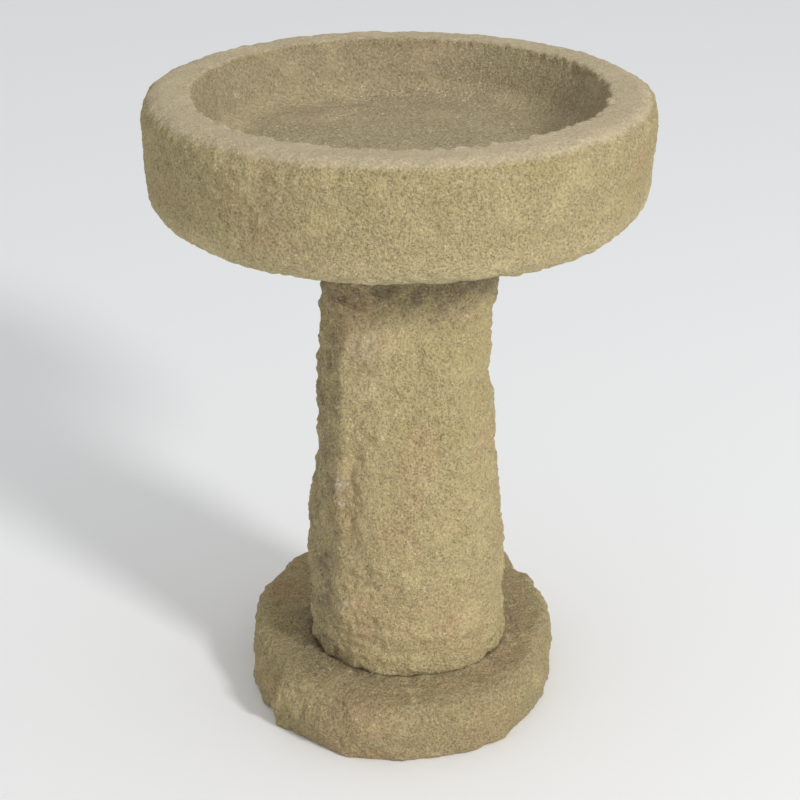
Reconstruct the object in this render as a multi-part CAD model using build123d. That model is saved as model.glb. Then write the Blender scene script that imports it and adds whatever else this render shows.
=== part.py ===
from build123d import *
import math
import os

# Bird bath of three cast-stone pieces stacked dry: a round basin on a hewn pedestal on a plinth.
# A loose round steel dowel keeps each dry joint in line, and each upper piece lifts off its dowel.
# Millimetres, +Z up. The origin is on the ground, under the middle of the basin.
# Azimuths are in degrees, from the front (-Y) round to the right (+X).

# ---- driving dimensions ----

# Plinth: a thick slab with a broken outline, wider towards the back than the pedestal on it.
PLINTH_HEIGHT = 66.0
PLINTH_REACH = 170.0  # from the plinth's own middle to its outline, before the outline's shape
PLINTH_MIDDLE = (3.0, 30.0)  # where that middle stands, from the dowels' axis
PLINTH_FOOT_INSET = 5.0  # how far the ground face lies inside the widest outline
PLINTH_TOP_INSET = 4.0
PLINTH_TOP_ROUND = 13.0
PLINTH_FOOT_ROUND = 2.0
PLINTH_WIDEST = 0.55  # height of the widest outline, as a share of the plinth's height
# Shape of the outline: azimuth, and the reach there as a share of PLINTH_REACH.
PLINTH_OUTLINE = (
    (0, 1.10), (25, 1.06), (46, 1.00), (70, 0.93), (97, 0.96), (125, 1.03), (148, 1.15), (180, 1.14),
    (212, 1.17), (235, 1.06), (258, 0.97), (281, 0.93), (308, 1.02), (325, 1.03), (342, 1.09),
)

# Pedestal: a round shaft, wide at the foot, narrow under the middle and a little wider again at the top.
PEDESTAL_HEIGHT = 469.0
PEDESTAL_END_ROUND = 7.0
# Sections from the foot up: share of the height, radius, and the section's middle from the dowels' axis.
PEDESTAL_SECTIONS = (
    (0.00, 98.0, 9.0, 0.0),
    (0.12, 99.0, 8.5, 0.0),
    (0.30, 96.5, 6.5, 0.0),
    (0.47, 89.0, 7.0, 0.0),
    (0.64, 84.0, 5.0, 0.0),
    (0.80, 82.0, 8.5, 0.0),
    (1.00, 90.0, 9.0, 0.0),
)
SECTION_POINTS = 12  # points on each section's outline
# Hewing leaves each section a little out of round, with broad flats that turn as they rise.
FLAT_DEPTH = 2.0
FLATS = 4
FLAT_AZIMUTH = 18.0  # the first flat, at the foot
FLAT_TWIST = 40.0  # how far the flats turn from the foot to the top

# Basin: a thick round dish with a flat rim.
BASIN_HEIGHT = 123.0
BASIN_RADIUS = 251.0
BASIN_DRAFT = 6.0  # how much less the side's radius is at the bottom
BASIN_RIM_WIDTH = 48.0  # from the side to where the rim's plane would meet the inner wall
BASIN_DEPTH = 54.0
BASIN_WALL_SLOPE = 28.0  # how far the inner wall comes in on its way down
BASIN_FLOOR_FALL = 3.0  # the floor is that much lower in its middle
RIM_OUTER_ROUND = 20.0
RIM_INNER_ROUND = 5.0
BASIN_FOOT_ROUND = 40.0
FLOOR_ROUND = 32.0

# Dowels: plain round steel, tight in the lower piece and loose in the upper one.
DOWEL_RADIUS = 10.0
DOWEL_CHAMFER = 1.5
LOWER_DOWEL_IN = 38.0  # length in the plinth
LOWER_DOWEL_OUT = 34.0  # length in the pedestal's foot
UPPER_DOWEL_IN = 50.0  # length in the pedestal's top
UPPER_DOWEL_OUT = 30.0  # length in the basin
TIGHT_CLEARANCE = 0.2  # radial, in the piece that keeps the dowel
LOOSE_CLEARANCE = 0.9  # radial, in the piece that lifts off
HOLE_END_CLEARANCE = 5.0  # beyond the dowel's upper end

# ---- worked out from them ----

PEDESTAL_Z = PLINTH_HEIGHT
BASIN_Z = PEDESTAL_Z + PEDESTAL_HEIGHT
RIM_Z = BASIN_Z + BASIN_HEIGHT
FLOOR_Z = RIM_Z - BASIN_DEPTH


def polar(radius, azimuth):
    """A point's x and y, from its distance and its azimuth from the front."""
    turn = math.radians(azimuth)
    return radius * math.sin(turn), -radius * math.cos(turn)


def closed_outline(points, z):
    """A face inside one smooth closed curve through points, level at height z."""
    curve = Spline(*[(x, y, z) for x, y in points], periodic=True)
    return Face(Wire([curve]))


def hole(radius, bottom_z, top_z):
    """The round hole for a dowel, as a solid to cut away."""
    return Pos(0, 0, bottom_z) * extrude(Circle(radius), top_z - bottom_z)


def ends_of(solid, bottom_z, top_z):
    """The edges round a solid's lowest and highest faces."""
    bottom = solid.edges().filter_by_position(Axis.Z, bottom_z - 0.01, bottom_z + 0.01)
    top = solid.edges().filter_by_position(Axis.Z, top_z - 0.01, top_z + 0.01)
    return bottom, top


def plinth_section(inset, z):
    middle_x, middle_y = PLINTH_MIDDLE
    points = []
    for azimuth, share in PLINTH_OUTLINE:
        x, y = polar(PLINTH_REACH * share - inset, azimuth)
        points.append((x + middle_x, y + middle_y))
    return closed_outline(points, z)


def make_plinth():
    """The slab on the ground, widest part way up, with the lower dowel's hole in its top."""
    slab = loft([
        plinth_section(PLINTH_FOOT_INSET, 0),
        plinth_section(0, PLINTH_HEIGHT * PLINTH_WIDEST),
        plinth_section(PLINTH_TOP_INSET, PLINTH_HEIGHT),
    ])
    bottom, top = ends_of(slab, 0, PLINTH_HEIGHT)
    slab = fillet(top, PLINTH_TOP_ROUND)
    bottom, top = ends_of(slab, 0, PLINTH_HEIGHT)
    slab = fillet(bottom, PLINTH_FOOT_ROUND)
    seat_z = PLINTH_HEIGHT - LOWER_DOWEL_IN
    return slab - hole(DOWEL_RADIUS + TIGHT_CLEARANCE, seat_z, PLINTH_HEIGHT)


def pedestal_section(share, radius, middle_x, middle_y):
    first_flat = FLAT_AZIMUTH + FLAT_TWIST * share
    points = []
    for i in range(SECTION_POINTS):
        azimuth = 360 / SECTION_POINTS * i
        flat = math.cos(math.radians(FLATS * (azimuth - first_flat)))
        x, y = polar(radius - FLAT_DEPTH * flat, azimuth)
        points.append((x + middle_x, y + middle_y))
    return closed_outline(points, PEDESTAL_Z + PEDESTAL_HEIGHT * share)


def make_pedestal():
    """The shaft, with a dowel's hole in each end."""
    shaft = loft([pedestal_section(*section) for section in PEDESTAL_SECTIONS])
    bottom, top = ends_of(shaft, PEDESTAL_Z, BASIN_Z)
    shaft = fillet(bottom + top, PEDESTAL_END_ROUND)
    foot_hole_top = PEDESTAL_Z + LOWER_DOWEL_OUT + HOLE_END_CLEARANCE
    shaft -= hole(DOWEL_RADIUS + LOOSE_CLEARANCE, PEDESTAL_Z, foot_hole_top)
    shaft -= hole(DOWEL_RADIUS + TIGHT_CLEARANCE, BASIN_Z - UPPER_DOWEL_IN, BASIN_Z)
    return shaft


def make_basin():
    """The dish: one turned profile, with the upper dowel's hole in its underside."""
    inner_radius = BASIN_RADIUS - BASIN_RIM_WIDTH
    outline = FilletPolyline(
        (0, BASIN_Z),
        (BASIN_RADIUS - BASIN_DRAFT, BASIN_Z),
        (BASIN_RADIUS, RIM_Z),
        (inner_radius, RIM_Z),
        (inner_radius - BASIN_WALL_SLOPE, FLOOR_Z),
        (0, FLOOR_Z - BASIN_FLOOR_FALL),
        radius=[BASIN_FOOT_ROUND, RIM_OUTER_ROUND, RIM_INNER_ROUND, FLOOR_ROUND],
    )
    axis_line = Line((0, FLOOR_Z - BASIN_FLOOR_FALL), (0, BASIN_Z))
    half_section = Plane.XZ * make_face([*outline.edges(), axis_line])
    dish = revolve(half_section, Axis.Z)
    hole_top = BASIN_Z + UPPER_DOWEL_OUT + HOLE_END_CLEARANCE
    return dish - hole(DOWEL_RADIUS + LOOSE_CLEARANCE, BASIN_Z, hole_top)


def make_dowel(seat_z, length):
    """A round pin standing on the bottom of its hole, chamfered at both ends."""
    pin = Pos(0, 0, seat_z) * extrude(Circle(DOWEL_RADIUS), length)
    bottom, top = ends_of(pin, seat_z, seat_z + length)
    return chamfer(bottom + top, DOWEL_CHAMFER)


NODES = {
    "plinth": make_plinth(),
    "lower_dowel": make_dowel(PLINTH_HEIGHT - LOWER_DOWEL_IN, LOWER_DOWEL_IN + LOWER_DOWEL_OUT),
    "pedestal": make_pedestal(),
    "upper_dowel": make_dowel(BASIN_Z - UPPER_DOWEL_IN, UPPER_DOWEL_IN + UPPER_DOWEL_OUT),
    "basin": make_basin(),
}

os.makedirs("parts", exist_ok=True)
for name, shape in NODES.items():
    export_step(shape, f"parts/{name}.step")
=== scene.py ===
# %% [markdown]
# # A rustic bird bath in cast stone
#
# The bath is three heavy castings set one on another with no mortar: a broken slab of a plinth, a round
# pedestal that looks as if it was hewn with a pick, and a thick dish with a broad, worn rim. A plain
# steel dowel hides in each joint.
#
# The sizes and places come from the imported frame. What is made here is everything that the eye sees: the
# dents and arrises of the hewing, the open grain of the cast, the pits, the dirt in the hollows and the
# paler worn edges.

# %% Load the fixed frame
import math

import bpy
import numpy as np
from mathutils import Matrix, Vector, noise


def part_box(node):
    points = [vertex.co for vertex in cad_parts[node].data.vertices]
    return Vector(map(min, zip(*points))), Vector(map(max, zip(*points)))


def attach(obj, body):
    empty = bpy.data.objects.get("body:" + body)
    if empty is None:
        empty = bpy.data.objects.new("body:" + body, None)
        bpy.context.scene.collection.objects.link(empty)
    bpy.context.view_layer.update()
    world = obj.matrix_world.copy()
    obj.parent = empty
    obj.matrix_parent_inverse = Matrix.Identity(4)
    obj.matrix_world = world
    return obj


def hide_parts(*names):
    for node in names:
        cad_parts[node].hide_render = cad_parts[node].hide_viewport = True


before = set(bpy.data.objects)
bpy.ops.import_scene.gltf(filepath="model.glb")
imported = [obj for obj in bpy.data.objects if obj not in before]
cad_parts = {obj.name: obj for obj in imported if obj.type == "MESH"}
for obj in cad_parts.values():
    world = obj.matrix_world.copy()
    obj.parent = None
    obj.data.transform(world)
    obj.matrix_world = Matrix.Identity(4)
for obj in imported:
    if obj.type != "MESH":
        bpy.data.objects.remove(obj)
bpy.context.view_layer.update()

# %% [markdown]
# ## Where the three stones are
#
# Each stone's box gives the heights of the joints and the widths that the shapes below are hung on. A
# millimetre is a handy unit for stone, so lengths below are written as so many MM.

# %% Read the levels and widths
MM = 0.001
pedestal_low, pedestal_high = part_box("pedestal")
basin_low, basin_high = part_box("basin")
lower_dowel_low, lower_dowel_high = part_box("lower_dowel")
upper_dowel_low, upper_dowel_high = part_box("upper_dowel")

FOOT_LEVEL = pedestal_low.z
SEAT_LEVEL = basin_low.z
RIM_LEVEL = basin_high.z
BASIN_RADIUS = (basin_high.x - basin_low.x) / 2
DOWEL_RADIUS = (lower_dowel_high.x - lower_dowel_low.x) / 2
print(f"pedestal stands at {FOOT_LEVEL:.3f}, basin at {SEAT_LEVEL:.3f}, rim at {RIM_LEVEL:.3f}")

# %% [markdown]
# ## The camera
#
# A long lens a little over two metres away, looking down at the bath from eye height, so that the dish
# shows as a broad oval and the sides stay nearly upright.

# %% Set up the camera
CAMERA_PLACE = (0, -2.131, 1.241)
CAMERA_TILT = 23.1  # degrees below the horizon
CAMERA_LENS = 102.6

lens = bpy.data.cameras.new("long_lens")
lens.lens = CAMERA_LENS
lens.sensor_width = 36
camera = bpy.data.objects.new("camera", lens)
camera.location = CAMERA_PLACE
camera.rotation_euler = (math.radians(90 - CAMERA_TILT), 0, 0)
bpy.context.scene.collection.objects.link(camera)
bpy.context.scene.camera = camera
print("lens:", lens.lens, "mm")

# %% [markdown]
# ## Drawing a profile
#
# A stone's section is a few corners, each broken by a round. Writing it as corners with a rounding radius
# keeps it as readable as a mason's template. The rounds are filled in with short steps of arc.


# %% A profile with rounded corners
ARC_STEPS = 8


def rounded_profile(corners):
    """Points along a profile of (reach, height, rounding) corners, whose two ends aren't rounded."""
    points = [Vector(corners[0][:2])]
    for before, corner, after in zip(corners, corners[1:], corners[2:]):
        here = Vector(corner[:2])
        if corner[2] == 0:
            points.append(here)
            continue
        back = (Vector(before[:2]) - here).normalized()
        on = (Vector(after[:2]) - here).normalized()
        half = back.angle(on) / 2
        centre = here + (back + on).normalized() * corner[2] / math.sin(half)
        first = here + back * corner[2] / math.tan(half) - centre
        last = here + on * corner[2] / math.tan(half) - centre
        sweep = math.pi - 2 * half
        for step in range(ARC_STEPS + 1):
            turn = sweep * step / ARC_STEPS
            blend = (first * math.sin(sweep - turn) + last * math.sin(turn)) / math.sin(sweep)
            points.append(centre + blend)
    points.append(Vector(corners[-1][:2]))
    return points


print("one rounded corner takes", len(rounded_profile([(0, 0, 0), (1, 0, 0.2), (1, 1, 0)])), "points")

# %% [markdown]
# ## From rings to a skin, and from a skin to an even net
#
# Every stone here is wrapped round the dowels' axis, so each starts as a pile of closed rings joined into
# a skin. Such a skin has long thin faces in one place and tiny ones in another. The Remesh modifier in
# its voxel mode lays a new net of even little squares over the same shape, and that is the right clay for
# hewing: every dent and pit gets as many points as the next one.

# %% Rings, skins and nets
AROUND = 240  # points in a ring
AZIMUTHS = np.linspace(0, 2 * math.pi, AROUND, endpoint=False)  # from the front, round to the right
OUTWARD = np.stack([np.sin(AZIMUTHS), -np.cos(AZIMUTHS), 0 * AZIMUTHS], axis=1)


def round_ring(radius, height):
    return OUTWARD * radius + (0, 0, height)


def skin(name, rings):
    """A closed mesh through a pile of rings. The first and the last ring are drawn together to a point."""
    points = np.concatenate([rings[0].mean(0)[None], *rings, rings[-1].mean(0)[None]])
    last = len(points) - 1
    after = np.roll(np.arange(AROUND), -1)
    faces = [(0, 1 + after[i], 1 + i) for i in range(AROUND)]
    for ring in range(len(rings) - 1):
        low = 1 + ring * AROUND
        high = low + AROUND
        faces += [(low + i, low + after[i], high + after[i], high + i) for i in range(AROUND)]
    faces += [(last - AROUND + i, last - AROUND + after[i], last) for i in range(AROUND)]
    mesh = bpy.data.meshes.new(name)
    mesh.from_pydata(points.tolist(), [], [[int(corner) for corner in face] for face in faces])
    piece = bpy.data.objects.new(name, mesh)
    bpy.context.scene.collection.objects.link(piece)
    return piece


def lay_even_net(piece, cell):
    """Replaces the piece's mesh by one of even squares, each about cell across."""
    remesh = piece.modifiers.new("even_net", "REMESH")
    remesh.mode = "VOXEL"
    remesh.voxel_size = cell
    evaluated = piece.evaluated_get(bpy.context.evaluated_depsgraph_get())
    net = bpy.data.meshes.new_from_object(evaluated)
    piece.modifiers.remove(remesh)
    piece.data = net
    for face in net.polygons:
        face.use_smooth = True
    print(f"{piece.name}: {len(net.vertices)} points, {len(net.polygons)} squares")


print(AROUND, "points in every ring")

# %% [markdown]
# ## Hewing tools
#
# Three kinds of unevenness make rough stone. `waves` are the soft swellings that no mason bothers to take
# off. `scallops` are the shallow bites of a pick: hollows with a ridge wherever two of them meet. A
# `dent` is one particular dip or bump at a chosen place. All of them only say how far each point moves;
# `carve` then moves the points along the surface's own normals, so corners and curves are roughened
# alike.


# %% Reading and moving a piece's points
def points_of(piece):
    flat = np.empty(len(piece.data.vertices) * 3, np.float32)
    piece.data.vertices.foreach_get("co", flat)
    return flat.reshape(-1, 3).astype(float)


def normals_of(piece):
    flat = np.empty(len(piece.data.vertices) * 3, np.float32)
    piece.data.vertex_normals.foreach_get("vector", flat)
    return flat.reshape(-1, 3).astype(float)


def place_points(piece, points):
    piece.data.vertices.foreach_set("co", points.astype(np.float32).ravel())
    piece.data.update()


def carve(piece, depth, upright=1.0):
    """Moves each point in along its normal by its depth, or out where the depth is below 0.

    Upright is the share of the up and down part of the move that is kept. Near a seat it is 0, so that
    the seat stays flat while its edge still wanders in and out.
    """
    normals = normals_of(piece)
    normals[:, 2] *= upright
    place_points(piece, points_of(piece) - normals * depth[:, None])


print("carving moves points, and adds none")


# %% Waves, scallops and dents
DENT_EDGE = 1.5  # how much of a dent's width its soft edge takes: more is narrower


def ease(value, start, end):
    """0 up to start, 1 from end on, and a smooth step between."""
    share = np.clip((value - start) / (end - start), 0, 1)
    return share * share * (3 - 2 * share)


def waves(points, size, seed, octaves=2):
    """Soft heights of about -0.5 to 0.5, whose swells are about size across."""
    scaled = (points / size + seed * 7.3).tolist()
    return np.array([noise.fractal(point, 1.0, 2.0, octaves) for point in scaled])


def scallops(points, size, seed):
    """0 on the ridges and up to about 1 in the middle of each hollow, with hollows about size across."""
    scaled = (points / size + seed * 5.1).tolist()
    return 1 - np.clip([noise.voronoi(point)[0][0] for point in scaled], 0, 1)


def on_surface(azimuth, reach, height):
    """A place given by its azimuth in degrees, its reach from the dowels' axis and its height."""
    turn = math.radians(azimuth)
    return np.array([reach * math.sin(turn), -reach * math.cos(turn), height])


def dent(points, place, width, height, depth):
    """One soft dip round a place, width across and height tall. A depth below 0 makes a bump."""
    away = points - place
    flat = (away[:, 0] ** 2 + away[:, 1] ** 2) / (width / 2) ** 2 + (away[:, 2] / (height / 2)) ** 2
    return depth * np.exp(-DENT_EDGE * flat)


print("ease at a quarter, a half and three quarters:", [round(ease(x, 0, 1), 2) for x in (0.25, 0.5, 0.75)])

# %% [markdown]
# ## The plinth
#
# The plinth is a slab about as thick as a hand is wide. Its outline is broken rather than cut: nearly
# straight stretches that meet at blunt corners. So the outline is a few corners joined by straight lines,
# then softened a little, which keeps the broken look that a smooth curve would lose.

# %% The plinth's outline
PLINTH_CORNERS = [  # x, y in MM on the dowels' axis, going round from the front towards the right
    (-5, -160), (40, -152), (82, -139), (88, -129), (110, -117), (129, -84), (145, -50), (157, -8),
    (163, 40), (164, 84), (152, 116), (152, 134), (134, 156), (122, 196), (80, 222), (10, 224), (-60, 222),
    (-108, 202), (-132, 168), (-146, 130), (-157, 96), (-161, 52), (-154, 6), (-147, -34), (-134, -64),
    (-132, -88), (-112, -104), (-94, -119), (-54, -151),
]
EVEN_STEPS = 1440
CORNER_SOFTNESS = 4 * MM


def broken_outline(corners):
    """The outline's reach from its own middle at every azimuth, with blunt corners."""
    loop = np.array(corners + corners[:1], float) * MM
    lengths = np.concatenate([[0], np.cumsum(np.linalg.norm(np.diff(loop, axis=0), axis=1))])
    along = np.linspace(0, lengths[-1], EVEN_STEPS, endpoint=False)
    line = np.stack([np.interp(along, lengths, loop[:, axis]) for axis in (0, 1)], axis=1)
    spread = np.exp(-0.5 * (np.minimum(along, lengths[-1] - along) / CORNER_SOFTNESS) ** 2)
    spread = np.fft.fft(spread / spread.sum())[:, None]
    return np.real(np.fft.ifft(np.fft.fft(line, axis=0) * spread, axis=0))


plinth_line = broken_outline(PLINTH_CORNERS)
PLINTH_MIDDLE = (plinth_line.min(0) + plinth_line.max(0)) / 2
print("the plinth's outline is", (np.ptp(plinth_line, axis=0) / MM).round(), "mm")

# %% [markdown]
# The slab's edge leans and rounds: it is a little narrower on the ground, widest at about half its
# height, and its upper edge is worn to a broad round. The face inside that edge is the seat of the
# pedestal. A dowel hole is sunk in its middle.

# %% Build the plinth
HOLE_RADIUS = DOWEL_RADIUS + 0.9 * MM
PLINTH_CELL = 2.1 * MM


def ring_from_outline(line, middle, inset, height):
    """A ring of the given outline, drawn in towards its middle by inset."""
    from_middle = line - middle
    turns = np.arctan2(from_middle[:, 0], -from_middle[:, 1]) % (2 * math.pi)
    reach = np.linalg.norm(from_middle, axis=1)
    order = np.argsort(turns)
    at = np.interp(AZIMUTHS, turns[order], reach[order], period=2 * math.pi) - inset
    return OUTWARD * at[:, None] + (middle[0], middle[1], height)


plinth_edge = rounded_profile([
    (20 * MM, 0, 0), (4 * MM, 0, 3 * MM), (0, 0.5 * FOOT_LEVEL, 20 * MM), (5 * MM, FOOT_LEVEL, 15 * MM),
    (40 * MM, FOOT_LEVEL, 0),
])
plinth_rings = [
    ring_from_outline(plinth_line, PLINTH_MIDDLE, inset, height) for inset, height in plinth_edge
]
plinth_rings += [round_ring(HOLE_RADIUS, FOOT_LEVEL), round_ring(HOLE_RADIUS, lower_dowel_low.z)]
plinth = skin("plinth_stone", plinth_rings)
lay_even_net(plinth, PLINTH_CELL)

# %% [markdown]
# Now the hewing. The top isn't flat outside the seat: it falls away towards the front. The sides have the
# biggest bites, and the left side has the most of them. The seat, the underside and the dowel hole stay
# true, because the stones have to stand on them.

# %% Hew the plinth
PLINTH_TOP_FALL = 7 * MM
SEAT_RADIUS = (pedestal_high.x - pedestal_low.x) / 2
SEAT_MIDDLE = (pedestal_high.x + pedestal_low.x) / 2


def azimuth_of(points):
    """Degrees from the front, up to 180 to the right and down to -180 to the left."""
    return np.degrees(np.arctan2(points[:, 0], -points[:, 1]))


points = points_of(plinth)
from_seat = np.hypot(points[:, 0] - SEAT_MIDDLE, points[:, 1]) - SEAT_RADIUS
beyond_seat = ease(from_seat, -2 * MM, 12 * MM)
off_ground = ease(points[:, 2], 0, 9 * MM)
upper = ease(points[:, 2], 30 * MM, FOOT_LEVEL)
on_top = ease(normals_of(plinth)[:, 2], 0.5, 0.9)
in_front = ease(-abs(azimuth_of(points)), -110, -50)

plinth_depth = PLINTH_TOP_FALL * ease(from_seat, 4 * MM, 56 * MM) * upper * in_front
plinth_depth += 5 * MM * waves(points, 60 * MM, 1) * (1 - 0.5 * on_top)
plinth_depth += 4.4 * MM * (scallops(points, 28 * MM, 2) - 0.5) * (1 - 0.7 * on_top)
plinth_depth += dent(points, on_surface(-62, 152 * MM, 40 * MM), 34 * MM, 60 * MM, 5 * MM)
plinth_depth += dent(points, on_surface(-92, 160 * MM, 50 * MM), 40 * MM, 30 * MM, 4 * MM)
on_left = ease(-azimuth_of(points), 20, 50) * (1 - on_top)
plinth_depth += 4.5 * MM * (scallops(points, 17 * MM, 24) - 0.5) * on_left
carve(plinth, plinth_depth * beyond_seat, off_ground)
print(f"the plinth's bites: {plinth_depth.min() / MM:.1f} to {plinth_depth.max() / MM:.1f} mm deep")

# %% [markdown]
# Sand and dirt have gathered in the joint round the pedestal's foot. Without that low ridge the two
# stones would meet in a clean dark line, which no garden ever shows.

# %% Gather a little dirt round the seat
RIDGE_HEIGHT = 2.6 * MM
ridge = np.exp(-((from_seat - 3 * MM) / (6 * MM)) ** 2) * ease(from_seat, -4 * MM, 0) * on_top
carve(plinth, -RIDGE_HEIGHT * ridge * (1 + waves(points, 12 * MM, 9)))
print(f"dirt lies on {np.mean(ridge > 0.1):.0%} of the plinth's points")

# %% [markdown]
# ## The pedestal
#
# The pedestal was roughed out round, but by eye: it leans a little, swells towards the foot, has a waist
# under the basin, and its left shoulder is a blunt arris instead of a curve. A few stations up its height
# hold the reach to the left and to the right. Between stations the outline runs smoothly.

# %% The pedestal's stations
PEDESTAL_STATIONS = [  # height above the ground, reach to the left and to the right, in MM
    (535, 82, 98), (500, 80, 98), (457, 77, 94), (441, 75, 90), (406, 78, 91), (389, 80, 90), (372, 82, 88),
    (363, 81, 87), (345, 81, 91), (328, 82, 96), (283, 82, 97), (265, 84, 98), (247, 88, 99), (229, 91, 102),
    (200, 92, 106), (173, 93, 107), (120, 93, 108), (66, 91, 109),
]
STATION_SOFTNESS = 6 * MM
LEVEL_STEP = 2 * MM
SQUARENESS = 2.7  # 2 is a true circle, and more is squarer
FLATS_TURNED = math.radians(-2)  # how far the flats are turned from facing the front


def smooth_over(values, height_step, softness):
    """Softens a row of values, as if by hand with a rasp."""
    reach = int(3 * softness / height_step)
    weights = np.exp(-0.5 * (np.arange(-reach, reach + 1) * height_step / softness) ** 2)
    padded = np.pad(values, reach, mode="edge")
    return np.convolve(padded, weights / weights.sum(), mode="valid")


levels = np.arange(FOOT_LEVEL, SEAT_LEVEL, LEVEL_STEP)
stations = np.array(PEDESTAL_STATIONS[::-1], float) * MM
left_reach, right_reach = (
    smooth_over(np.interp(levels, stations[:, 0], stations[:, side]), LEVEL_STEP, STATION_SOFTNESS)
    for side in (1, 2)
)
print(f"{len(levels)} levels, from {levels[0]:.3f} to {levels[-1]:.3f}")

# %% [markdown]
# A superellipse is a handy plan for a shaft that is neither round nor square: one number, the squareness,
# moves it from one to the other. The shaft is squarer in its upper half, where the arris shows, and round
# at the foot.

# %% Build the pedestal
PEDESTAL_CELL = 2.1 * MM
SQUARE_FROM = 200 * MM
SQUARE_TO = 330 * MM


def pedestal_ring(height, inset):
    """The shaft's outline at a height, drawn in by inset."""
    left = np.interp(height, levels, left_reach)
    right = np.interp(height, levels, right_reach)
    middle = (right - left) / 2
    reach = (right + left) / 2 - inset
    power = 2 + (SQUARENESS - 2) * ease(height, SQUARE_FROM, SQUARE_TO)
    across = np.sin(AZIMUTHS - FLATS_TURNED)
    deep = np.cos(AZIMUTHS - FLATS_TURNED)
    reach = reach / (abs(across) ** power + abs(deep) ** power) ** (1 / power)
    return OUTWARD * reach[:, None] + (middle, 0, height)


foot_hole_top = lower_dowel_high.z + 5 * MM
pedestal_edge = rounded_profile([
    (40 * MM, FOOT_LEVEL, 0), (0.5 * MM, FOOT_LEVEL, 3.5 * MM), (0, FOOT_LEVEL + 60 * MM, 0),
])
shaft_levels = np.arange(FOOT_LEVEL + 66 * MM, SEAT_LEVEL - 15 * MM, 6 * MM)
pedestal_edge += [Vector((0, height)) for height in shaft_levels]
pedestal_edge += rounded_profile([
    (0, SEAT_LEVEL - 12 * MM, 0), (0, SEAT_LEVEL, 7 * MM), (40 * MM, SEAT_LEVEL, 0),
])
pedestal_rings = [round_ring(HOLE_RADIUS, foot_hole_top), round_ring(HOLE_RADIUS, FOOT_LEVEL)]
pedestal_rings += [pedestal_ring(height, inset) for inset, height in pedestal_edge]
pedestal_rings += [round_ring(HOLE_RADIUS, SEAT_LEVEL), round_ring(HOLE_RADIUS, upper_dowel_low.z)]
pedestal = skin("pedestal_stone", pedestal_rings)
lay_even_net(pedestal, PEDESTAL_CELL)

# %% [markdown]
# The pick leaves a facet at each stroke, so the shaft gets scallops of several sizes as well as soft
# waves. On the left the bites are deeper, and they line up into a blunt arris with a groove beside it.
# Low on the front a patch has crumbled.

# %% Hew the pedestal
points = points_of(pedestal)
off_seats = ease(np.minimum(points[:, 2] - FOOT_LEVEL, SEAT_LEVEL - points[:, 2]), 0.5 * MM, 6 * MM)
off_holes = ease(np.hypot(points[:, 0], points[:, 1]), 40 * MM, 50 * MM)

pedestal_depth = 4 * MM * waves(points, 45 * MM, 3)
pedestal_depth += 2.6 * MM * (scallops(points, 30 * MM, 4) - 0.5)
pedestal_depth += 2.0 * MM * (scallops(points, 14 * MM, 8) - 0.5)
on_left = ease(-azimuth_of(points), 26, 44)
pedestal_depth += 3.4 * MM * (scallops(points, 18 * MM, 18) - 0.5) * on_left
pedestal_depth += dent(points, on_surface(-32, 92 * MM, 262 * MM), 24 * MM, 120 * MM, 4 * MM)
pedestal_depth += dent(points, on_surface(-43, 93 * MM, 262 * MM), 16 * MM, 110 * MM, -3 * MM)
pedestal_depth += dent(points, on_surface(-54, 88 * MM, 380 * MM), 34 * MM, 90 * MM, 4 * MM)
pedestal_depth += dent(points, on_surface(-38, 92 * MM, 360 * MM), 20 * MM, 150 * MM, -3 * MM)
pedestal_depth += dent(points, on_surface(-62, 95 * MM, 150 * MM), 40 * MM, 110 * MM, 4 * MM)
pedestal_depth += dent(points, on_surface(-38, 98 * MM, 150 * MM), 22 * MM, 120 * MM, -2.5 * MM)
crumbled = dent(points, on_surface(-22, 98 * MM, 130 * MM), 90 * MM, 90 * MM, 1)
pedestal_depth += 4 * MM * (scallops(points, 10 * MM, 17) - 0.5) * crumbled
at_foot = ease(-points[:, 2], -FOOT_LEVEL - 30 * MM, -FOOT_LEVEL)
pedestal_depth += 3.5 * MM * (scallops(points, 22 * MM, 14) - 0.5) * at_foot
carve(pedestal, pedestal_depth * off_holes, off_seats)
print(f"the pedestal's bites: {pedestal_depth.min() / MM:.1f} to {pedestal_depth.max() / MM:.1f} mm deep")

# %% [markdown]
# ## The basin
#
# The basin is the most regular of the three, because it was turned: a drum with a worn rim and a dished
# middle. Its section is a handful of corners. The outer lower edge is rounded broadly, the rim's outer
# edge less, and the inner edge is almost sharp, where frost and beaks have nibbled it.

# %% Build the basin
BASIN_CELL = 2.75 * MM
RIM_WIDTH = 48 * MM
DISH_DEPTH = 54 * MM
WALL_SLOPE = 28 * MM
inner_radius = BASIN_RADIUS - RIM_WIDTH
dish_level = RIM_LEVEL - DISH_DEPTH

basin_profile = rounded_profile([
    (HOLE_RADIUS, upper_dowel_high.z + 5 * MM, 0),
    (HOLE_RADIUS, SEAT_LEVEL, 1 * MM),
    (BASIN_RADIUS - 6 * MM, SEAT_LEVEL, 40 * MM),
    (BASIN_RADIUS, RIM_LEVEL, 22 * MM),
    (inner_radius, RIM_LEVEL, 6 * MM),
    (inner_radius - WALL_SLOPE, dish_level, 32 * MM),
    (20 * MM, dish_level - 3 * MM, 0),
])
basin = skin("basin_stone", [round_ring(radius, height) for radius, height in basin_profile])
lay_even_net(basin, BASIN_CELL)

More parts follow.
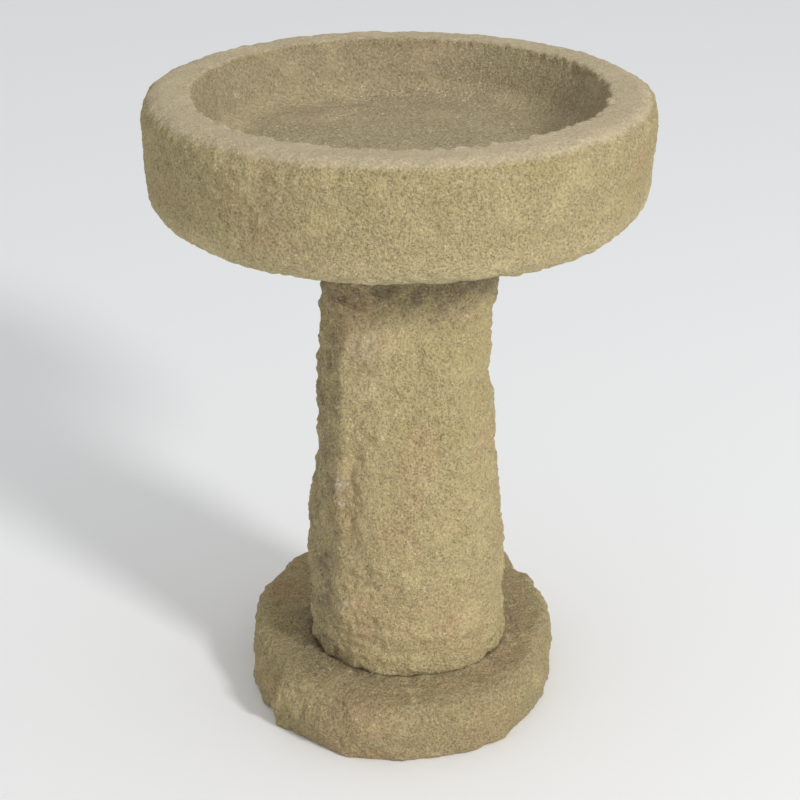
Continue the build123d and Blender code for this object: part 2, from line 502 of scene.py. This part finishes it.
# %% Where the rim, the side and the dish are
points = points_of(basin)
upward = normals_of(basin)[:, 2]
reach = np.hypot(points[:, 0], points[:, 1])
azimuth = azimuth_of(points)
on_rim = ease(upward, 0.55, 0.85) * ease(points[:, 2], RIM_LEVEL - 14 * MM, RIM_LEVEL - 6 * MM)
in_dish = ease(inner_radius - reach, -2 * MM, 6 * MM)
in_dish *= ease(points[:, 2], dish_level - 20 * MM, dish_level - 8 * MM)
on_side = (1 - on_rim) * (1 - in_dish)
on_shoulder = np.exp(-((reach - BASIN_RADIUS + 10 * MM) / (13 * MM)) ** 2)
on_shoulder *= ease(points[:, 2], RIM_LEVEL - 30 * MM, RIM_LEVEL - 8 * MM)
inner_edge = np.exp(-((reach - inner_radius) / (6 * MM)) ** 2)
inner_edge *= ease(points[:, 2], RIM_LEVEL - 25 * MM, RIM_LEVEL)
off_seat = ease(reach, SEAT_RADIUS + 4 * MM, SEAT_RADIUS + 20 * MM)
off_seat = np.maximum(off_seat, ease(points[:, 2], SEAT_LEVEL + 20 * MM, SEAT_LEVEL + 30 * MM))
print(f"rim {on_rim.mean():.2f}, dish {in_dish.mean():.2f}, side {on_side.mean():.2f} of the points")

# %% [markdown]
# The side was tooled after casting, so it carries small close bites, deepest along the shoulder at the
# front left, where the tool ran off the edge. The inner edge is nibbled. The casting isn't quite true
# either: its right side leans in more than its left, and the rim is worn down a little at the back.

# %% Hew the basin
stretched = points * (1, 1, 0.8)
at_front_left = np.exp(-((azimuth + 46) / 26) ** 2)
below_shoulder = np.exp(-((points[:, 2] - RIM_LEVEL + 24 * MM) / (16 * MM)) ** 2)

basin_depth = 1.8 * MM * waves(points, 60 * MM, 5) * (1 - 0.5 * on_rim)
basin_depth += 1.0 * MM * (scallops(points, 13 * MM, 6) - 0.5) * on_side
basin_depth += 3.2 * MM * (scallops(points, 15 * MM, 10) - 0.45) * on_shoulder
basin_depth += 1.8 * MM * (scallops(points, 8 * MM, 16) - 0.5) * on_shoulder
basin_depth += 2.6 * MM * (scallops(stretched, 9 * MM, 12) - 0.5) * at_front_left * below_shoulder * on_side
basin_depth += 3.0 * MM * waves(points, 10 * MM, 7, octaves=3) * inner_edge
basin_depth += 2.2 * MM * (scallops(points, 9 * MM, 20) - 0.5) * inner_edge
basin_depth += 1.6 * MM * ease(abs(azimuth), 100, 150) * ease(points[:, 2], RIM_LEVEL - 20 * MM, RIM_LEVEL)
basin_depth += dent(points, on_surface(75, 248 * MM, 575 * MM), 260 * MM, 90 * MM, 3.2 * MM) * on_side
basin_depth += dent(points, on_surface(-80, 248 * MM, 590 * MM), 200 * MM, 90 * MM, -1.6 * MM) * on_side
basin_depth += dent(points, on_surface(39, 236 * MM, 541 * MM), 16 * MM, 14 * MM, 5 * MM)
carve(basin, basin_depth * off_seat)
print(f"the basin's bites: {basin_depth.min() / MM:.1f} to {basin_depth.max() / MM:.1f} mm deep")

# %% [markdown]
# ## The open grain
#
# Cast stone of this kind has a coarse, sandy skin: crumbs of stone with little voids between them. On the
# sides it is open and rough, and on the rim and in the dish it has been worn smoother. This last pass
# moves the points by a millimetre or two, and writes how deep each point lies into a named layer, so that
# the colour can gather dirt in exactly the same hollows.


# %% Roughen every stone
def roughen(piece, height, seed, roughness, upright=1.0):
    """Adds the crumbly skin. Height is how far it moves a point, and roughness its share at each point."""
    points = points_of(piece)
    crumbs = waves(points, 9 * MM, seed, octaves=3) + 0.8 * (scallops(points, 6.5 * MM, seed + 1) - 0.45)
    carve(piece, height * crumbs * roughness, upright)
    layer = piece.data.attributes.new("hollow", "FLOAT", "POINT")
    layer.data.foreach_set("value", crumbs.astype(np.float32))
    print(f"{piece.name}: grain from {crumbs.min():.2f} to {crumbs.max():.2f}")


def paint(piece, name, amount):
    """Keeps a share between 0 and 1 for every point, for the stone's colour to read."""
    layer = piece.data.attributes.new(name, "FLOAT", "POINT")
    layer.data.foreach_set("value", np.clip(amount, 0, 1).astype(np.float32))
    print(f"{piece.name}: {name} on {np.mean(amount > 0.05):.0%} of the points")


GRAIN_HEIGHT = 1.7 * MM
roughen(plinth, GRAIN_HEIGHT, 11, beyond_seat, off_ground)
roughen(pedestal, 1.25 * GRAIN_HEIGHT, 13, off_holes, off_seats)
roughen(basin, GRAIN_HEIGHT, 15, 0.85 * off_seat * (1 - 0.75 * on_rim) * (1 - 0.55 * in_dish))

# %% [markdown]
# ## The colour of the stone
#
# The stone is one buff, seen through many small accidents. Broad stains shift it towards olive and rose.
# Grains of sand lie in it, most of them close to the buff and a few nearly white. The voids between the
# crumbs are dark. The worn faces are paler, greyer and calmer. Each of these is one short group of nodes,
# and the coordinates are the stone's own, so nothing slides when a stone is lifted.

# %% Node helpers
BUFF = (0.48, 0.392, 0.205)
OLIVE = (0.43, 0.365, 0.172)
ROSE = (0.495, 0.358, 0.195)
WORN = (0.475, 0.395, 0.255)
PALE_GRAIN = (0.72, 0.64, 0.46)
DARK_VOID = (0.14, 0.104, 0.056)
# the colour of grime in the dish, and of painted shade under the basin, round the foot and on the shaded
# left
GRIME_AND_SHADE = (0.26, 0.212, 0.132)
CHALK = (0.62, 0.57, 0.47)
# a paler buff, for light from the pale floor painted on the basin's lower side
BOUNCE_LIGHT_BUFF = (0.62, 0.515, 0.285)
BLUSH_SIZE = 90 * MM
STAIN_SIZE = 50 * MM
PATCH_SIZE = 35 * MM
MOTTLE_SIZE = 14 * MM
DRIFT_SIZE = 4.5 * MM
DRIFT_REACH = 4 * MM  # how far a grain of sand is drifted out of its row
CRUMB_SIZE = 2.7 * MM
SAND_SIZE = 1.7 * MM
RELIEF = 4.4 * MM  # how tall the bumps of the skin would be from the lowest to the highest
STAIN_FROM = 0.62  # the height of the noise above which a rare stain starts
STAIN_SPREAD = 0.3  # how much lower it starts for a stain that is everywhere
STAIN_FADE = 0.22


class Finish:
    """A material under construction: add() makes a node and wires its inputs."""

    def __init__(self, name):
        self.material = bpy.data.materials.new(name)
        self.material.use_nodes = True
        self.tree = self.material.node_tree
        self.tree.nodes.clear()

    def add(self, kind, inputs, **settings):
        node = self.tree.nodes.new(kind)
        for setting, value in settings.items():
            setattr(node, setting, value)
        for key, value in inputs.items():
            if isinstance(value, bpy.types.NodeSocket):
                self.tree.links.new(value, node.inputs[key])
            else:
                node.inputs[key].default_value = value
        return node

    def noise(self, where, size, detail=2.0, roughness=0.5):
        """Soft noise from 0 to 1, whose features are about size across."""
        made = self.add(
            "ShaderNodeTexNoise",
            {"Vector": where, "Scale": 1 / size, "Detail": detail, "Roughness": roughness},
        )
        return made.outputs["Fac"]

    def between(self, value, low, high):
        """0 at low and 1 at high."""
        made = self.add(
            "ShaderNodeMapRange",
            {"Value": value, "From Min": low, "From Max": high, "To Min": 0.0, "To Max": 1.0},
            interpolation_type="SMOOTHSTEP",
        )
        return made.outputs["Result"]

    def calculate(self, operation, first, second, third=0.0):
        return self.add("ShaderNodeMath", {0: first, 1: second, 2: third}, operation=operation).outputs[0]

    def mix(self, share, first, second, blend="MIX"):
        first = (*first, 1) if isinstance(first, tuple) else first
        second = (*second, 1) if isinstance(second, tuple) else second
        made = self.add(
            "ShaderNodeMix",
            {0: share, 6: first, 7: second},
            data_type="RGBA",
            blend_type=blend,
            clamp_factor=True,
        )
        return made.outputs[2]

    def layer(self, name):
        """A layer painted on the piece's points."""
        return self.add("ShaderNodeAttribute", {}, attribute_name=name).outputs["Fac"]


print("the buff is", BUFF, "and the sand in it", SAND_SIZE / MM, "mm across")


# %% [markdown]
# The colour is built in two steps. First come the broad things, as a painter would lay them in: the buff and
# its stains, then what wear and dirt have done to it, with painted bounce light and painted shade laid in
# too. Then the grains break that colour up.

# %% The stone's stains
STAIN_STRENGTH = 0.6
BLUSH_STRENGTH = 0.8


def stained(finish, place, rose_share, olive_share, evenness):
    """The buff with its stains, worn faces, painted bounce light, grime and painted shade, and chips."""
    rose_from = STAIN_FROM - STAIN_SPREAD * rose_share
    rose = finish.between(finish.noise(place, BLUSH_SIZE), rose_from, rose_from + STAIN_FADE)
    rose = finish.calculate("MAXIMUM", rose, finish.layer("blush"))
    olive_from = STAIN_FROM - STAIN_SPREAD * olive_share
    olive = finish.between(finish.noise(place, STAIN_SIZE), olive_from, olive_from + STAIN_FADE)
    colour = finish.mix(finish.calculate("MULTIPLY", olive, STAIN_STRENGTH), BUFF, OLIVE)
    colour = finish.mix(finish.calculate("MULTIPLY", rose, BLUSH_STRENGTH), colour, ROSE)
    colour = finish.mix(finish.layer("worn"), colour, WORN)
    # Painted bounce light: the colour is made paler where this layer lies, low on the basin's side, as the
    # pale floor would light it.
    colour = finish.mix(finish.layer("bounce_light"), colour, BOUNCE_LIGHT_BUFF)
    # Grime in the dish, and painted shade under the basin, round the pedestal's foot and on the sides away
    # from the light, broken up by a mottle.
    mottle = finish.between(finish.noise(place, MOTTLE_SIZE, detail=4.0, roughness=0.6), 0.36, 0.64)
    mottle = finish.calculate("MULTIPLY_ADD", mottle, 1 - evenness, third=0.5 + 0.5 * evenness)
    grime_and_shade = finish.calculate("MULTIPLY", finish.layer("grime_and_shade"), mottle)
    colour = finish.mix(grime_and_shade, colour, GRIME_AND_SHADE)
    return finish.mix(finish.layer("chalk"), colour, CHALK)


print("stains are", STAIN_SIZE / MM, "and", BLUSH_SIZE / MM, "mm across")

# %% [markdown]
# Sand is a Voronoi pattern: each cell is one grain with its own shade. Left alone, the cells look as even
# as tiles, so their places are drifted first by a soft noise. A second noise stands for the crumbs. Where
# it is low there is a void, which is dark, and the same two patterns drive the small bumps of the skin.

# %% The stone's grains
PALE_STRENGTH = 0.34
VOID_STRENGTH = 0.36
GAP_STRENGTH = 0.36
DIRT_STRENGTH = 0.20
BASE_SHADE = 0.96
SAND_SHADE = 0.12
CRUMB_SHADE = 0.18
SAND_RELIEF = -0.22


def grained(finish, place, colour, calm, shade, evenness):
    """The colour broken up by sand, voids and dirt, and with it the height of the grains."""
    crumbs = finish.noise(place, CRUMB_SIZE, detail=3.0, roughness=0.68)
    drift = finish.add("ShaderNodeTexNoise", {"Vector": place, "Scale": 1 / DRIFT_SIZE}).outputs["Color"]
    drifted = finish.add(
        "ShaderNodeVectorMath", {0: drift, 1: (DRIFT_REACH,) * 3, 2: place}, operation="MULTIPLY_ADD"
    ).outputs[0]
    sand = finish.add("ShaderNodeTexVoronoi", {"Vector": drifted, "Scale": 1 / SAND_SIZE})
    sand_value = finish.add("ShaderNodeSeparateColor", {0: sand.outputs["Color"]}).outputs[0]

    speckle = finish.calculate("MULTIPLY_ADD", finish.layer("speckle"), 0.4, third=calm)
    # The voids are darker still where grime and painted shade lie.
    speckle = finish.calculate("MULTIPLY_ADD", finish.layer("grime_and_shade"), 1.0 - evenness, third=speckle)
    bright = finish.calculate("MULTIPLY_ADD", finish.layer("speckle"), 1.6, third=calm)
    pale = finish.calculate("MULTIPLY", finish.between(sand_value, 0.93, 0.98), PALE_STRENGTH)
    dark = finish.calculate("MULTIPLY", finish.between(crumbs, 0.46, 0.32), VOID_STRENGTH)
    gaps = finish.between(sand.outputs["Distance"], 0.40, 0.70)
    gaps = finish.calculate("MULTIPLY", gaps, finish.between(crumbs, 0.62, 0.42))
    gaps = finish.calculate("MULTIPLY", gaps, GAP_STRENGTH)
    dirt = finish.calculate("MULTIPLY", finish.between(finish.layer("hollow"), 0.2, 1.1), DIRT_STRENGTH)
    colour = finish.mix(finish.calculate("MULTIPLY", pale, bright), colour, PALE_GRAIN)
    for hole in (dark, gaps, dirt):
        colour = finish.mix(finish.calculate("MULTIPLY", hole, speckle), colour, DARK_VOID)

    tone = finish.calculate("MULTIPLY_ADD", sand_value, SAND_SHADE, third=BASE_SHADE * shade)
    tone = finish.calculate("MULTIPLY_ADD", finish.between(crumbs, 0.46, 0.66), CRUMB_SHADE, third=tone)
    tint = finish.add("ShaderNodeCombineColor", {0: tone, 1: tone, 2: tone}).outputs[0]
    colour = finish.mix(1.0, colour, tint, "MULTIPLY")
    height = finish.calculate("MULTIPLY_ADD", sand.outputs["Distance"], SAND_RELIEF, third=crumbs)
    return colour, height


print("grains are", SAND_SIZE / MM, "and crumbs", CRUMB_SIZE / MM, "mm across")


# %% The stone itself
def stone(name, seed, rose_share, olive_share, shade, evenness):
    """The buff cast stone.

    Each piece has its own seed, its shares of rose and of olive stain, its shade, and how evenly its
    grime and painted shade lie.
    """
    finish = Finish(name)
    place = finish.add("ShaderNodeTexCoord", {}).outputs["Object"]
    place = finish.add(
        "ShaderNodeVectorMath", {0: place, 1: (seed, seed * 0.37, seed * 0.71)}, operation="ADD"
    ).outputs[0]
    patches = finish.between(finish.noise(place, PATCH_SIZE, detail=3.0), 0.52, 0.66)
    calm = finish.calculate("MULTIPLY_ADD", finish.layer("worn"), -0.5, third=1.0)
    calm = finish.calculate("MULTIPLY_ADD", patches, -0.2, third=calm)

    colour = stained(finish, place, rose_share, olive_share, evenness)
    colour, height = grained(finish, place, colour, calm, shade, evenness)
    bump = finish.add("ShaderNodeBump", {"Strength": calm, "Distance": RELIEF, "Height": height})
    shader = finish.add(
        "ShaderNodeBsdfPrincipled",
        {"Base Color": colour, "Roughness": 0.92, "Specular IOR Level": 0.25, "Normal": bump.outputs[0]},
    )
    finish.add("ShaderNodeOutputMaterial", {"Surface": shader.outputs[0]})
    print(f"{name}: {len(finish.tree.nodes)} nodes")
    return finish.material


stone_finishes = {
    "plinth": stone("plinth_buff", 1.3, 0.6, 0.3, 0.93, 0.0),
    "pedestal": stone("pedestal_buff", 4.7, 0.3, 0.4, 1.13, 0.0),
    "basin": stone("basin_buff", 8.9, 0.25, 0.3, 1.01, 0.7),
}

# %% [markdown]
# ## Where the stone is worn and stained, and where light and shade are painted
#
# Hands, water and frost smooth the rim and the dish. Dirt settles in the dish, and the darker band up its
# walls is partly painted shade. Shade is painted into the colour under the basin, round the pedestal's foot,
# on the pedestal's left flank away from the light, and on the plinth's top to the left of the pedestal,
# where its shadow falls. Light from the pale floor is painted on the basin's lower side. Here and there the
# stone blushes rose, and a few chips show a chalky inside. None of these is a random stain, so each is
# painted where it belongs, as soft spots with frayed edges.

# %% Paint the layers


def spots(points, places):
    """The sum of soft spots, each an (azimuth, reach, height, size, strength), with frayed edges."""
    total = np.zeros(len(points))
    for azimuth, reach, height, size, strength in places:
        total += dent(points, on_surface(azimuth, reach * MM, height * MM), size * MM, size * MM, strength)
    return total * (0.8 + 0.9 * waves(points, 16 * MM, 21, octaves=3))


points = points_of(plinth)
from_seat = np.hypot(points[:, 0] - SEAT_MIDDLE, points[:, 1]) - SEAT_RADIUS
# Painted shade: the plinth's top is darkened round the pedestal's foot, most to the left, where the
# pedestal's shadow falls.
near_foot = np.exp(-np.clip(from_seat, 0, 1) / (22 * MM))
toward_left = 0.75 - 0.25 * np.sin(np.radians(azimuth_of(points)))
paint(plinth, "grime_and_shade", 0.8 * near_foot * toward_left * ease(points[:, 2], 40 * MM, 60 * MM))
paint(plinth, "blush", spots(points, [
    (-12, 152, 30, 120, 1.2), (30, 150, 20, 90, 0.9), (-60, 150, 30, 60, 0.6),
]))

points = points_of(pedestal)
azimuth = azimuth_of(points)
# Painted shade: the pedestal is darkened under the basin, on its left flank away from the light, and at its
# foot where it meets the plinth.
left_flank = ease(azimuth, -150, -110) * ease(-azimuth, 32, 48)
under_basin_shade = ease(points[:, 2], 420 * MM, 520 * MM) * (0.95 + 0.8 * waves(points, 14 * MM, 23, octaves=3))
at_foot = ease(-points[:, 2], -FOOT_LEVEL - 14 * MM, -FOOT_LEVEL)
left_flank_shade = 0.36 * left_flank * (1 + 1.4 * waves(points, 24 * MM, 22, octaves=3))
paint(pedestal, "grime_and_shade", np.maximum.reduce([1.05 * under_basin_shade, left_flank_shade, 0.3 * at_foot]))
paint(pedestal, "blush", spots(points, [
    (-42, 92, 285, 50, 1.0), (-36, 94, 240, 70, 0.9), (-20, 96, 130, 100, 0.9), (-10, 85, 430, 26, 0.8),
    (10, 95, 255, 40, 0.5), (24, 106, 130, 110, 0.7),
]))
paint(pedestal, "worn", spots(points, [
    (-22, 84, 425, 60, 0.5), (-25, 84, 380, 40, 0.5), (-41, 93, 270, 16, 0.8),
]))
paint(pedestal, "chalk", spots(points, [
    (-40, 93, 272, 14, 0.5), (-38, 95, 250, 10, 0.5), (-35, 98, 140, 8, 0.8),
]))

points = points_of(basin)
# Grime in the dish and along the back of the inner edge; the extra darkening up the dish's walls is partly
# painted shade.
up_the_wall = ease(points[:, 2], dish_level + 6 * MM, dish_level + 20 * MM)
at_back = ease(abs(azimuth_of(points)), 70, 130)
paint(basin, "grime_and_shade", (0.30 + 0.20 * up_the_wall) * in_dish + 0.2 * inner_edge * at_back)
# Painted bounce light: the lower band of the side is made paler, as light from the pale floor would make it.
paint(basin, "bounce_light", 0.75 * on_side * ease(-points[:, 2], -SEAT_LEVEL - 50 * MM, -SEAT_LEVEL - 12 * MM))
paint(basin, "blush", spots(points, [
    (-62, 248, 590, 60, 0.7), (-30, 248, 575, 40, 0.8), (30, 248, 580, 60, 0.4),
]))
paint(basin, "worn", np.maximum(on_rim, 0.5 * in_dish))
from_silt = np.hypot(points[:, 0], points[:, 1] - 50 * MM)
silt = ease(-from_silt, -170 * MM, -110 * MM)
silt *= ease(-points[:, 2], -dish_level - 16 * MM, -dish_level - 4 * MM)
paint(basin, "speckle", in_dish * silt * (0.8 + waves(points, 40 * MM, 25)))
paint(basin, "chalk", spots(points, [
    (15, 204, 656, 20, 0.7), (-50, 204, 656, 8, 1.0), (-118, 186, 626, 9, 1.0),
]))

# %% [markdown]
# Each stone now gets its finish and takes the place of its plain casting.

# %% Dress the stones
for piece, node in ((plinth, "plinth"), (pedestal, "pedestal"), (basin, "basin")):
    piece.data.materials.clear()
    piece.data.materials.append(stone_finishes[node])
    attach(piece, node)
    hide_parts(node)
    print(f"{piece.name} takes the place of the plain {node}")


# %% [markdown]
# ## The dowels
#
# The dowels are cut from plain round bar. They only show when a stone is lifted off, with the dull skin
# and the first rust of steel that has sat in damp stone.


# %% Dress the dowels
def damp_steel():
    finish = Finish("damp_steel")
    place = finish.add("ShaderNodeTexCoord", {}).outputs["Object"]
    rust = finish.between(finish.noise(place, 0.008, detail=5.0), 0.48, 0.68)
    colour = finish.mix(rust, (0.33, 0.33, 0.34), (0.23, 0.10, 0.04))
    dullness = finish.add("ShaderNodeMapRange", {"Value": rust, "To Min": 0.38, "To Max": 0.85})
    metal = finish.calculate("SUBTRACT", 1.0, rust)
    bump = finish.add("ShaderNodeBump", {"Strength": 0.4, "Distance": 0.0005, "Height": rust})
    shader = finish.add(
        "ShaderNodeBsdfPrincipled",
        {
            "Base Color": colour,
            "Roughness": dullness.outputs["Result"],
            "Metallic": metal,
            "Normal": bump.outputs[0],
        },
    )
    finish.add("ShaderNodeOutputMaterial", {"Surface": shader.outputs[0]})
    return finish.material


steel = damp_steel()
for node in ("lower_dowel", "upper_dowel"):
    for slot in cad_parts[node].material_slots:
        slot.material = steel
    print(f"{node} is {steel.name}")

# %% [markdown]
# ## Floor and light
#
# A plain pale floor, one soft light from the right and the front at thirty degrees, and a pale sky, a
# little paler overhead, to lift the shade.

# %% The studio
FLOOR_SIZE = 60.0
FLOOR_PALE = (0.9, 0.9, 0.895)
KEY_AZIMUTH = 40.0  # degrees from the front, towards the right
KEY_HEIGHT = 30.0  # degrees above the floor
KEY_DISTANCE = 6.0
KEY_SIZE = 0.95
KEY_POWER = 205.0
SKY_COLOUR = (0.97, 0.98, 1.0)
SKY_ABOVE = 0.70
SKY_AT_HORIZON = 0.60
SKY_EVEN_FROM = 0.8  # the height on the sky's unit ball from which it is as pale as it gets

floor_mesh = bpy.data.meshes.new("floor")
side = FLOOR_SIZE / 2
floor_corners = [(-side, -side, 0), (side, -side, 0), (side, side, 0), (-side, side, 0)]
floor_mesh.from_pydata(floor_corners, [], [(0, 1, 2, 3)])
floor = bpy.data.objects.new("floor", floor_mesh)
bpy.context.scene.collection.objects.link(floor)
floor_finish = Finish("pale_floor")
floor_shader = floor_finish.add(
    "ShaderNodeBsdfPrincipled", {"Base Color": (*FLOOR_PALE, 1), "Roughness": 0.9}
)
floor_finish.add("ShaderNodeOutputMaterial", {"Surface": floor_shader.outputs[0]})
floor_mesh.materials.append(floor_finish.material)

aim = Vector((0, 0, RIM_LEVEL / 2))
tall = math.radians(KEY_HEIGHT)
turn = math.radians(KEY_AZIMUTH)
toward_key = Vector((math.sin(turn) * math.cos(tall), -math.cos(turn) * math.cos(tall), math.sin(tall)))
key = bpy.data.lights.new("key", "AREA")
key.shape = "DISK"
key.size = KEY_SIZE
key.energy = KEY_POWER
key_light = bpy.data.objects.new("key", key)
key_light.location = aim + toward_key * KEY_DISTANCE
key_light.rotation_euler = toward_key.to_track_quat("Z", "Y").to_euler()
bpy.context.scene.collection.objects.link(key_light)

sky = bpy.data.worlds.new("pale_sky")
sky.use_nodes = True
sky_tree = sky.node_tree
upward = sky_tree.nodes.new("ShaderNodeSeparateXYZ")
sky_tree.links.new(sky_tree.nodes.new("ShaderNodeTexCoord").outputs["Generated"], upward.inputs[0])
strength = sky_tree.nodes.new("ShaderNodeMapRange")
strength.inputs["From Max"].default_value = SKY_EVEN_FROM
strength.inputs["To Min"].default_value = SKY_AT_HORIZON
strength.inputs["To Max"].default_value = SKY_ABOVE
sky_tree.links.new(upward.outputs["Z"], strength.inputs["Value"])
sky_tree.links.new(strength.outputs["Result"], sky_tree.nodes["Background"].inputs["Strength"])
sky_tree.nodes["Background"].inputs["Color"].default_value = (*SKY_COLOUR, 1)
bpy.context.scene.world = sky
bpy.context.scene.view_settings.view_transform = "Standard"
print("key light", [round(part, 2) for part in key_light.location], "at", KEY_POWER, "watts")
